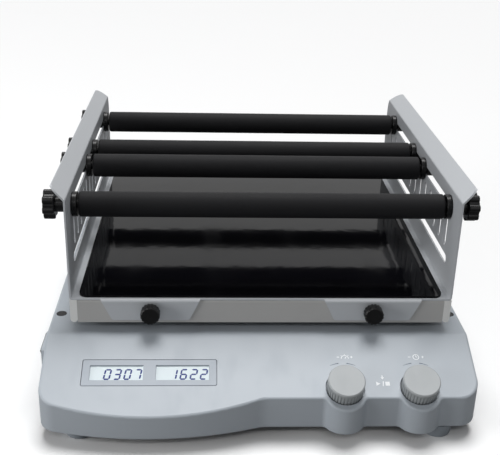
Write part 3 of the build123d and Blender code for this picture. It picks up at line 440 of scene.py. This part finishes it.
def panel_matrix(x, down, height=0.0):
    """Place on the control panel: local X to the right, Y up the slope, Z out of it."""
    knob = joints["speed_turn"]
    normal = Vector(knob["axis"])
    right = Vector((1.0, 0.0, 0.0))
    up = normal.cross(right)
    ridge = Vector(knob["pos_m"]) + up * KNOB_DOWN
    origin = Vector((x, ridge.y, ridge.z)) - up * down + normal * height
    return Matrix.Translation(origin) @ Matrix((right, up, normal)).transposed().to_4x4()


def settings():
    """The three groups of settings: colours, sizes and studio."""
    scene = bpy.context.scene
    return scene.shaker_colours, scene.shaker_sizes, scene.shaker_studio


class SHAKER_OT_housing(bpy.types.Operator):
    """Finish the cover, pan, feet, plugs and screws"""

    bl_idname = "shaker.housing"
    bl_label = "Housing"

    def execute(self, context):
        colours = settings()[0]
        moulded("housing_plastic", colours.housing, 0.46, 0.000018, 0.018).on("housing_shell")
        painted_sheet("pan_paint", (0.09, 0.092, 0.10)).on("base_pan")
        # The feet's colour is the housing's grey darkened as painted shade.
        soft_black("foot_rubber", colours.foot, 0.65, 0.00005, 900.0).on("rubber_feet")
        gloss_black("plug_plastic", (0.004, 0.004, 0.0045)).on("screw_plugs")
        turned_steel("screw_steel", (0.42, 0.42, 0.41)).on("case_screws")
        return {"FINISHED"}


class SHAKER_OT_displays(bpy.types.Operator):
    """Finish the bezel and the displays, and lay the digits on them"""

    bl_idname = "shaker.displays"
    bl_label = "Displays"

    def execute(self, context):
        colours, sizes, _ = settings()
        moulded("bezel_plastic", colours.bezel, 0.50, 0.00001, 0.012).on("display_bezel")
        self.lit_glass(colours.glass).on("speed_display", "timer_display")
        digits = Finish("display_segment", colours.digit, 0.25, specular_ior_level=0.10)
        bleed = digits.noise(900.0, 2.0)
        digits.set("Base Color", digits.tint(bleed, 0.25))
        digits.set("Roughness", 0.22 + 0.10 * bleed)
        for node, reading in READINGS.items():
            low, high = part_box(node)
            left = (low.x + high.x) / 2 - WINDOW[0] / 2

            def segments(work):
                for place, character in enumerate(reading):
                    self.add_digit(work, left, place, character, sizes)

            new_piece(f"{node}_digits", segments, digits, "base")
        return {"FINISHED"}

    def lit_glass(self, base):
        """Backlit display: brightness that varies in soft patches, with a faint cell grid."""
        finish = Finish("display_glass", base, 0.12, specular_ior_level=0.12,
                        emission_strength=0.12)
        cloud = finish.noise(45.0, 3.0)
        grid = finish.value("ShaderNodeTexChecker", None,
                            {"Vector": finish.place(), "Scale": 3200.0}, output=1)
        even = finish.tint(cloud, 0.04)
        finish.set("Base Color", finish.mix(grid * 0.05, even, (0.62, 0.70, 0.74, 1.0)))
        dim, bright = (0.70, 0.84, 0.92, 1.0), (0.86, 0.94, 1.0, 1.0)
        finish.set("Emission Color", finish.mix(cloud, dim, bright))
        finish.set("Roughness", 0.10 + 0.06 * cloud)
        return finish

    def add_digit(self, work, left, place, character, sizes):
        """One seven-segment digit, leaning to the right."""
        width, height, bar = sizes.digit_width, sizes.digit_height, sizes.segment
        start = left + FIRST_DIGIT + place * sizes.digit_pitch
        foot = WINDOW[1] / 2 - DIGIT_FOOT
        matrix = panel_matrix(start, DISPLAY_DOWN + foot, -DISPLAY_SUNK)
        lean = math.tan(sizes.slant)
        edge = bar / 2
        corners = {
            "a": ((edge, height - edge), (width - edge, height - edge)),
            "b": ((width - edge, height - edge), (width - edge, height / 2)),
            "c": ((width - edge, height / 2), (width - edge, edge)),
            "d": ((edge, edge), (width - edge, edge)),
            "e": ((edge, height / 2), (edge, edge)),
            "f": ((edge, height - edge), (edge, height / 2)),
            "g": ((edge, height / 2), (width - edge, height / 2)),
        }
        for letter in SEGMENTS[character]:
            start_point, end_point = (Vector(p) for p in corners[letter])
            along = (end_point - start_point).normalized()
            side = Vector((-along.y, along.x)) * edge
            first, last = start_point + along * SEGMENT_GAP, end_point - along * SEGMENT_GAP
            outline = (first, first + along * edge + side, last - along * edge + side,
                       last, last - along * edge - side, first + along * edge - side)
            leaning = [(point.x + point.y * lean, point.y) for point in outline]
            plate(work, matrix, leaning, sizes.print_thickness)


class SHAKER_OT_panel_marks(bpy.types.Operator):
    """Print the turn marks and the symbols on the control panel"""

    bl_idname = "shaker.panel_marks"
    bl_label = "Panel marks"

    def execute(self, context):
        colours, sizes, _ = settings()
        light = self.ink("light_print", colours.print_light)
        dark = self.ink("dark_print", colours.print_dark)
        speed_x, timer_x = (joints[name]["pos_m"][0] for name in ("speed_turn", "timer_turn"))
        for name, x in (("speed", speed_x), ("timer", timer_x)):
            def arcs(work):
                matrix = panel_matrix(x, KNOB_DOWN)
                for start, end in ARC_SPANS:
                    outline = arc_outline((0.0, 0.0), sizes.arc_radius, start, end,
                                          lambda share: sizes.arc_width * (0.25 + 0.75 * share))
                    plate(work, matrix, outline, sizes.print_thickness)

            new_piece(f"{name}_turn_marks", arcs, dark, "base")

        middle = (speed_x + timer_x) / 2
        for name, draw, x in (("speed_symbol", self.gauge, speed_x + SPEED_SHIFT),
                              ("timer_symbol", self.clock, timer_x + TIMER_SHIFT),
                              ("start_stop_symbol", self.start_stop, middle + START_STOP_SHIFT)):
            new_piece(name, lambda work: draw(work, x, sizes), light, "base")
        return {"FINISHED"}

    def ink(self, name, base):
        """Screen-printed ink with slightly uneven cover."""
        finish = Finish(name, base, 0.5)
        cover = finish.noise(1500.0, 3.0)
        finish.set("Base Color", finish.tint(cover, 0.06))
        finish.set("Roughness", 0.45 + 0.15 * cover)
        return finish

    def less_and_more(self, work, x, sizes):
        """Minus and plus signs on either side of a symbol."""
        matrix = panel_matrix(x, SYMBOL_DOWN)
        reach, arm, line = sizes.symbol * 1.15, sizes.symbol * 0.22, sizes.symbol * 0.13
        for side in (-1, 1):
            middle = Vector((side * reach, 0.0))
            across = Vector((arm, 0.0))
            stroke = stroke_outline(middle - across, middle + across, line)
            plate(work, matrix, stroke, sizes.print_thickness)
        up = Vector((0.0, arm))
        for start, end in ((middle - up, middle - up * 0.3), (middle + up * 0.3, middle + up)):
            plate(work, matrix, stroke_outline(start, end, line), sizes.print_thickness)

    def gauge(self, work, x, sizes):
        """Half dial with a needle."""
        self.less_and_more(work, x, sizes)
        matrix = panel_matrix(x, SYMBOL_DOWN)
        radius, line = sizes.symbol * 0.62, sizes.symbol * 0.13
        middle = Vector((0.0, -radius / 2))
        dial = arc_outline(middle, radius, 0.0, math.pi, lambda share: line)
        needle = stroke_outline(middle, middle + Vector((radius * 0.45, radius * 0.62)), line)
        for outline in (dial, needle):
            plate(work, matrix, outline, sizes.print_thickness)
        for turn in (45, 90, 135):
            angle = math.radians(turn)
            direction = Vector((math.cos(angle), math.sin(angle)))
            tick = stroke_outline(middle + direction * (radius + 1.2 * line),
                                  middle + direction * (radius + 2.2 * line), line)
            plate(work, matrix, tick, sizes.print_thickness)

    def clock(self, work, x, sizes):
        """Clock face with two hands."""
        self.less_and_more(work, x, sizes)
        matrix = panel_matrix(x, SYMBOL_DOWN)
        radius, line = sizes.symbol * 0.5, sizes.symbol * 0.13
        for start in (0.0, math.pi):
            half = arc_outline((0.0, 0.0), radius, start, start + math.pi, lambda share: line)
            plate(work, matrix, half, sizes.print_thickness)
        for hand in ((0.0, radius * 0.66), (radius * 0.5, 0.0)):
            plate(work, matrix, stroke_outline((0.0, 0.0), hand, line), sizes.print_thickness)

    def start_stop(self, work, x, sizes):
        """Triangle and square, with a down stroke for pressing the knob."""
        size, line = sizes.press_symbol * 0.42, sizes.press_symbol * 0.09
        matrix = panel_matrix(x, START_STOP_DOWN)
        play = [(-1.5 * size, -size / 2), (-0.55 * size, 0.0), (-1.5 * size, size / 2)]
        stop = [(0.5 * size, -size / 2), (1.45 * size, -size / 2), (1.45 * size, size / 2),
                (0.5 * size, size / 2)]
        divider = stroke_outline((-0.05 * size, -0.6 * size), (0.1 * size, 0.6 * size), line)
        for outline in (play, stop, divider):
            plate(work, matrix, outline, sizes.print_thickness)
        press = panel_matrix(x, START_STOP_DOWN - 1.5 * size)
        head = [(-0.4 * size, 0.1 * size), (0.0, -0.45 * size), (0.4 * size, 0.1 * size)]
        for outline in (head, stroke_outline((0.0, 0.0), (0.0, 0.6 * size), line)):
            plate(work, press, outline, sizes.print_thickness)


class SHAKER_OT_controls(bpy.types.Operator):
    """Finish the control knobs, their shafts and the mains switch"""

    bl_idname = "shaker.controls"
    bl_label = "Controls"

    def execute(self, context):
        colours = settings()[0]
        moulded("knob_plastic", colours.knob, 0.48, 0.00003, 0.02).on("speed_knob", "timer_knob")
        turned_steel("shaft_steel").on("speed_encoder_shaft", "timer_encoder_shaft",
                                       "encoder_bodies")
        moulded("switch_body", (0.012, 0.012, 0.013), 0.42).on("rocker_frame")
        gloss_black("rocker_plastic", (0.010, 0.010, 0.011)).on("power_rocker")
        return {"FINISHED"}


class SHAKER_OT_platform(bpy.types.Operator):
    """Finish the platform, its rails, the tray and the mat"""

    bl_idname = "shaker.platform"
    bl_label = "Platform and tray"

    def execute(self, context):
        colours = settings()[0]
        painted_sheet("skirt_paint", colours.skirt, 0.36).on("platform_plate")
        # The rails' near-white colour is painted light.
        painted_sheet("rail_paint", colours.rail, 0.30).on("platform_rails")
        painted_sheet("tray_paint", colours.tray, 0.38).on("attachment_tray")
        self.glossy_mat(colours.mat).on("mat")
        return {"FINISHED"}

    def glossy_mat(self, base):
        """Polished rubber: deep black under a smooth skin, with ripples and dust."""
        finish = Finish("mat_rubber", base, 0.14, specular_ior_level=0.12)
        ripple = finish.noise(26.0, 3.0, 0.5)
        dust = finish.noise(1900.0, 2.0).smooth(0.70, 0.76)
        along = finish.stretched((1.0, 0.25, 1.0))
        wiped = finish.noise(18.0, 4.0, 0.6, along).smooth(0.45, 0.80)
        finish.set("Base Color", finish.mix(dust * 0.25, finish.base, (0.05, 0.05, 0.055, 1.0)))
        finish.set("Roughness", 0.06 + 0.08 * wiped + 0.30 * dust)
        finish.bump(ripple, 0.00018)
        return finish


class SHAKER_OT_clamp_bars(bpy.types.Operator):
    """Finish the bars and star knobs, and dress the bars in foam"""

    bl_idname = "shaker.clamp_bars"
    bl_label = "Clamp bars"

    def execute(self, context):
        colours, sizes, _ = settings()
        foam = self.foam(colours.foam)
        black = gloss_black("black_plastic", colours.black)
        for number in BAR_NUMBERS:
            black.on(f"bar_rod_{number}", f"star_knob_{number}_left",
                     f"star_knob_{number}_right")
            node = f"bar_sleeve_{number}"
            low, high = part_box(node)
            piece = new_piece(f"foam_sleeve_{number}",
                              lambda work: self.sleeve(work, low, high, sizes.sleeve_round),
                              foam, f"bar_{number}")
            for face in piece.data.polygons:
                face.use_smooth = True
            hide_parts(node)
        return {"FINISHED"}

    def foam(self, base):
        """Closed-cell foam: matt black, with fine cells and a velvety bloom."""
        finish = Finish("bar_foam", base, 0.62, specular_ior_level=0.14)
        cells = finish.cells(1500.0).smooth(0.0, 0.55)
        bloom = finish.noise(30.0, 5.0, 0.7, finish.stretched((0.4, 1.0, 1.0)))
        finish.set("Base Color", finish.tint(bloom, 0.22))
        finish.set("Roughness", 0.56 + 0.14 * bloom)
        finish.bump(cells + 0.4 * finish.noise(400.0, 4.0), 0.00012)
        return finish

    def sleeve(self, work, low, high, rounding, sides=64, rings=56):
        """Foam tube along X with soft rounded ends and a barely uneven skin."""
        centre = (low + high) / 2
        outer = (high.z - low.z) / 2
        inner = BAR_BORE
        half = (high.x - low.x) / 2
        end = [(-half, inner), (-half, inner + 2.0 * MM)]
        steps = 6
        for i in range(steps, -1, -1):
            turn = math.pi / 2 * i / steps
            end.append((-half + rounding * (1 - math.sin(turn)),
                        outer - rounding * (1 - math.cos(turn))))
        straight = half - rounding
        middle = [(-straight + 2 * straight * i / rings, outer) for i in range(1, rings)]
        profile = end + middle + [(-x, radius) for x, radius in reversed(end)]
        loops = []
        for x, radius in profile:
            loop = []
            for side in range(sides):
                turn = 2 * math.pi * side / sides
                dip = 0.06 * MM * (math.sin(3 * turn + 41 * x) * math.sin(97 * x + turn) + 1) / 2
                reach = radius - (dip if radius > outer - rounding else 0.0)
                loop.append(work.verts.new((centre.x + x, centre.y + reach * math.cos(turn),
                                            centre.z + reach * math.sin(turn))))
            loops.append(loop)
        loops.append(loops[0])
        for first, second in zip(loops, loops[1:]):
            for side in range(sides):
                after = (side + 1) % sides
                work.faces.new((first[side], first[after], second[after], second[side]))


class SHAKER_OT_thumb_screws(bpy.types.Operator):
    """Finish the thumb screws that hold the tray"""

    bl_idname = "shaker.thumb_screws"
    bl_label = "Thumb screws"

    def execute(self, context):
        black = gloss_black("thumb_plastic", settings()[0].black)
        black.on(*(f"thumb_screw_{end}_{side}"
                   for end in ("front", "rear") for side in ("left", "right")))
        return {"FINISHED"}


class SHAKER_OT_drive(bpy.types.Operator):
    """Finish the spindle, cranks, pulleys, motor and electronics inside the base"""

    bl_idname = "shaker.drive"
    bl_label = "Drive and electronics"

    def execute(self, context):
        colours = settings()[0]
        spindle = joints["crank_spin"]["pos_m"][:2]
        pin = joints["platform_turn"]["pos_m"][:2]
        motor = joints["motor_spin"]["pos_m"][:2]
        cast_metal("cast_aluminium").on("spindle_housing", "idler_posts", "idler_cups",
                                        "platform_hub")
        turned_steel("spindle_steel", centre=spindle).on("crank_shaft", "counterweight")
        turned_steel("pulley_alloy", (0.60, 0.61, 0.62), spindle, 0.34).on("drive_pulley")
        turned_steel("motor_steel", centre=motor).on("motor_pulley")
        turned_steel("bearing_steel", (0.62, 0.62, 0.63), spindle, 0.15).on("spindle_bearings")
        turned_steel("hub_bearing_steel", (0.62, 0.62, 0.63), pin, 0.15).on("hub_bearings")
        for number in IDLER_NUMBERS:
            centre = joints[f"idler_{number}_spin"]["pos_m"][:2]
            turned_steel(f"idler_steel_{number}", centre=centre).on(f"idler_crank_{number}")
        soft_black("belt_rubber", colours.rubber, 0.6, 0.00004, 1400.0).on("drive_belt")
        moulded("motor_enamel", (0.018, 0.018, 0.02), 0.38).on("motor_body")
        circuit("control_circuit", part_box("control_board")[1].z).on("control_board")
        circuit("driver_circuit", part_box("driver_board")[0].z + DRIVER_BOARD_UP).on("driver_board")
        self.brushed("supply_case").on("power_supply")
        return {"FINISHED"}

    def brushed(self, name):
        """Brushed aluminium case, with its grain along Y."""
        finish = Finish(name, (0.60, 0.61, 0.62), 0.32, metallic=1.0)
        grain = finish.noise(3000.0, 2.0, 0.5, finish.stretched((1.0, 0.02, 1.0)))
        stain = finish.noise(30.0, 4.0)
        finish.set("Base Color", finish.tint(stain, 0.08))
        finish.set("Roughness", 0.26 + 0.20 * grain)
        finish.bump(grain, 0.00002)
        return finish


class SHAKER_OT_connectors(bpy.types.Operator):
    """Finish the mains inlet and the data socket"""

    bl_idname = "shaker.connectors"
    bl_label = "Rear sockets"

    def execute(self, context):
        self.socket("inlet_plastic", "mains_inlet", (0.014, 0.014, 0.015), (0.62, 0.60, 0.55),
                    7.9 * MM, 11.4 * MM)
        self.socket("port_shell", "serial_port", (0.55, 0.55, 0.54), (0.70, 0.55, 0.25),
                    7.0 * MM, 3.2 * MM)
        return {"FINISHED"}

    def socket(self, name, node, base, contact, half_width, half_height):
        """Moulded socket whose contacts, deep inside it, are bare metal."""
        low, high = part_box(node)
        centre = (low + high) / 2
        finish = Finish(name, base, 0.4)
        x, y, z = finish.axes()
        deep = high.y - CONTACT_DEPTH
        aside = (x - centre.x).math("ABSOLUTE") < half_width
        level = (z - centre.z).math("ABSOLUTE") < half_height
        inside = (y < deep) * aside * level
        cloud = finish.noise(300.0, 3.0)
        finish.set("Base Color", finish.mix(inside, finish.base, (*contact, 1.0)))
        finish.set("Metallic", inside * 0.9)
        finish.set("Roughness", 0.34 + 0.14 * cloud)
        finish.bump(finish.noise(1500.0, 2.0), 0.00002)
        finish.on(node)


TOP_LIGHT_SIZE, TOP_LIGHT_PLACE = (1.3, 0.14), (0.0, -1.1, 1.0)
SIDE_LIGHT_SIZE, SIDE_LIGHT_PLACE = (0.8, 0.8), (-1.8, -0.75, 0.5)
LIGHTS_AIM = Vector((0.0, 0.0, 0.1))
REAR_LIGHT_SPREAD = math.radians(30)
REAR_LIGHT_TURN = (math.radians(-16), math.radians(2), 0.0)
FLOOR_REACH = 14.0


class SHAKER_OT_studio(bpy.types.Operator):
    """Set up the floor, the light and the camera"""

    bl_idname = "shaker.studio"
    bl_label = "Studio"

    def execute(self, context):
        studio = settings()[2]
        scene = bpy.context.scene
        scene.view_settings.view_transform = "Standard"
        self.world(scene, studio)
        self.floor()
        self.rear_light(studio)
        self.soft_box("top_light", studio.top, TOP_LIGHT_SIZE, TOP_LIGHT_PLACE)
        self.soft_box("side_light", studio.fill, SIDE_LIGHT_SIZE, SIDE_LIGHT_PLACE)
        self.camera(scene, studio)
        return {"FINISHED"}

    def world(self, scene, studio):
        """Soft light all round, seen as plain white by the camera and in reflections."""
        world = bpy.data.worlds.new("studio")
        world.use_nodes = True
        scene.world = world
        tree = world.node_tree
        lit = tree.nodes["Background"]
        lit.inputs["Color"].default_value = (0.96, 0.98, 1.0, 1.0)
        lit.inputs["Strength"].default_value = studio.sky
        white = tree.nodes.new("ShaderNodeBackground")
        white.inputs["Color"].default_value = (1.0, 1.0, 1.0, 1.0)
        path = tree.nodes.new("ShaderNodeLightPath")
        seen = self.seen(tree, path)
        mix = tree.nodes.new("ShaderNodeMixShader")
        tree.links.new(seen, mix.inputs[0])
        tree.links.new(lit.outputs[0], mix.inputs[1])
        tree.links.new(white.outputs[0], mix.inputs[2])
        tree.links.new(mix.outputs[0], tree.nodes["World Output"].inputs["Surface"])

    def seen(self, tree, path, others=("Is Glossy Ray", "Is Transmission Ray")):
        """1 for rays from the camera and for the other kinds named."""
        total = path.outputs["Is Camera Ray"]
        for name in others:
            add = tree.nodes.new("ShaderNodeMath")
            add.operation = "MAXIMUM"
            tree.links.new(total, add.inputs[0])
            tree.links.new(path.outputs[name], add.inputs[1])
            total = add.outputs[0]
        return total

    def floor(self):
        """Wide floor, white where it is seen and duller where it throws light back."""
        mesh = bpy.data.meshes.new("studio_floor")
        reach = FLOOR_REACH
        corners = ((-reach, -reach, 0.0), (reach, -reach, 0.0), (reach, reach, 0.0),
                   (-reach, reach, 0.0))
        mesh.from_pydata(corners, [], [(0, 1, 2, 3)])
        floor = bpy.data.objects.new("studio_floor", mesh)
        bpy.context.scene.collection.objects.link(floor)
        finish = Finish("studio_paper", (0.30, 0.30, 0.30), 0.9, specular_ior_level=0.0)
        path = finish.node("ShaderNodeLightPath")
        seen = self.seen(finish.tree, path, ("Is Transmission Ray",))
        finish.set("Base Color", finish.mix(seen, finish.base, (1.0, 1.0, 1.0, 1.0)))
        mesh.materials.append(finish.material)

    def rear_light(self, studio):
        """Wide soft light from above and behind, so that the shadow falls to the front."""
        lamp = bpy.data.lights.new("rear_light", "SUN")
        lamp.energy = studio.sun
        lamp.angle = REAR_LIGHT_SPREAD
        light = bpy.data.objects.new("rear_light", lamp)
        light.rotation_euler = REAR_LIGHT_TURN
        bpy.context.scene.collection.objects.link(light)

    def soft_box(self, name, power, size, place):
        """Rectangular lamp aimed at the part."""
        lamp = bpy.data.lights.new(name, "AREA")
        lamp.energy = power
        lamp.shape = "RECTANGLE"
        lamp.size, lamp.size_y = size
        light = bpy.data.objects.new(name, lamp)
        light.location = place
        aim = LIGHTS_AIM - light.location
        light.rotation_euler = aim.to_track_quat("-Z", "Y").to_euler()
        bpy.context.scene.collection.objects.link(light)

    def camera(self, scene, studio):
        """Camera where the photo was taken from."""
        data = bpy.data.cameras.new("camera")
        data.sensor_fit = "HORIZONTAL"
        data.sensor_width = 36.0
        data.lens = studio.lens
        data.clip_start = 0.05
        camera = bpy.data.objects.new("camera", data)
        camera.matrix_world = (
            Matrix.Translation(studio.place)
            @ Matrix.Rotation(-studio.yaw, 4, "Z")
            @ Matrix.Rotation(math.pi / 2 - studio.pitch, 4, "X")
            @ Matrix.Rotation(studio.roll, 4, "Z"))
        scene.collection.objects.link(camera)
        scene.camera = camera


STEPS = (
    SHAKER_OT_housing, SHAKER_OT_displays, SHAKER_OT_panel_marks, SHAKER_OT_controls,
    SHAKER_OT_platform, SHAKER_OT_clamp_bars, SHAKER_OT_thumb_screws, SHAKER_OT_drive,
    SHAKER_OT_connectors, SHAKER_OT_studio,
)


class SHAKER_PT_steps(bpy.types.Panel):
    """Lists the steps and the settings of the shaker"""

    bl_idname = "SHAKER_PT_steps"
    bl_label = "Orbital shaker"
    bl_space_type = "VIEW_3D"
    bl_region_type = "UI"
    bl_category = "Shaker"

    def draw(self, context):
        column = self.layout.column()
        for step in STEPS:
            column.operator(step.bl_idname)
        for group in settings():
            for name in group.bl_rna.properties.keys():
                if name not in ("rna_type", "name"):
                    column.prop(group, name)


GROUPS = {"shaker_colours": ShakerColours, "shaker_sizes": ShakerSizes,
          "shaker_studio": StudioSettings}
CLASSES = (*GROUPS.values(), *STEPS, SHAKER_PT_steps)


def register():
    for group in CLASSES:
        bpy.utils.register_class(group)
    for name, group in GROUPS.items():
        setattr(bpy.types.Scene, name, PointerProperty(type=group))


def unregister():
    for name in GROUPS:
        delattr(bpy.types.Scene, name)
    for group in reversed(CLASSES):
        bpy.utils.unregister_class(group)


def main():
    register()
    for step in STEPS:
        section, name = step.bl_idname.split(".")
        getattr(getattr(bpy.ops, section), name)()


if __name__ == "__main__":
    main()
